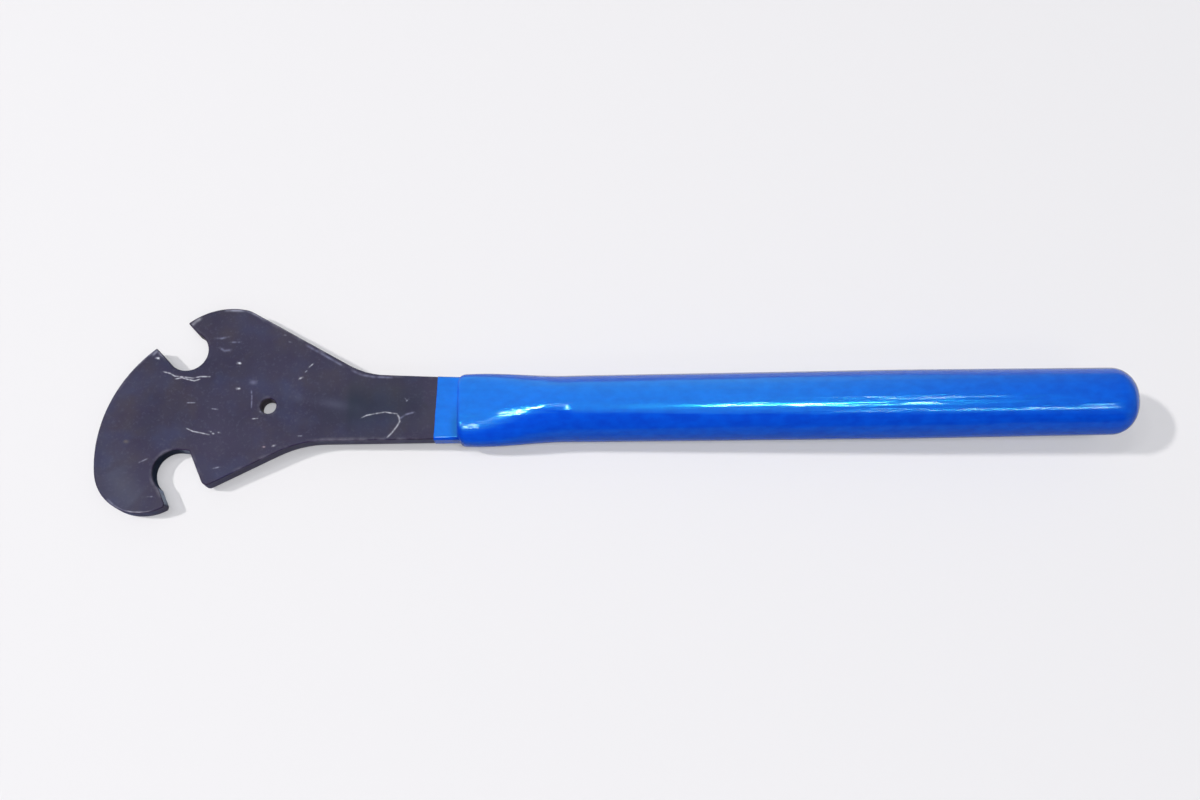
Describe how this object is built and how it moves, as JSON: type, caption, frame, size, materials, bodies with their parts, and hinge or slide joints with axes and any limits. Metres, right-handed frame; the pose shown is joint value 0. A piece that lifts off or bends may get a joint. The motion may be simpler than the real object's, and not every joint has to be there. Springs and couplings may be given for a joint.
{
  "type": "pedal wrench",
  "caption": "Flat steel pedal wrench with two offset open jaws, a hanging hole and a long round handle dipped in glossy blue vinyl.",
  "frame": {"origin": "on the ground under the middle of the whole tool, which lies with its handle axis level", "axes": "+X along the handle from the head to the tail, +Y across the head towards the upper jaw, +Z out of the head's upper face"},
  "size_m": [0.3938, 0.0806, 0.0265],
  "materials": {
    "black_oxide_steel": "black oxide with purple and brown mottling, scratched",
    "tube_steel": "drawn, oiled",
    "plug_plastic": "moulded, matte",
    "blue_vinyl": "dipped, glossy"
  },
  "bodies": {
    "root": {"head": "black_oxide_steel", "handle_tube": "tube_steel", "end_plug": "plug_plastic", "grip": "blue_vinyl"}
  },
  "joints": []
}
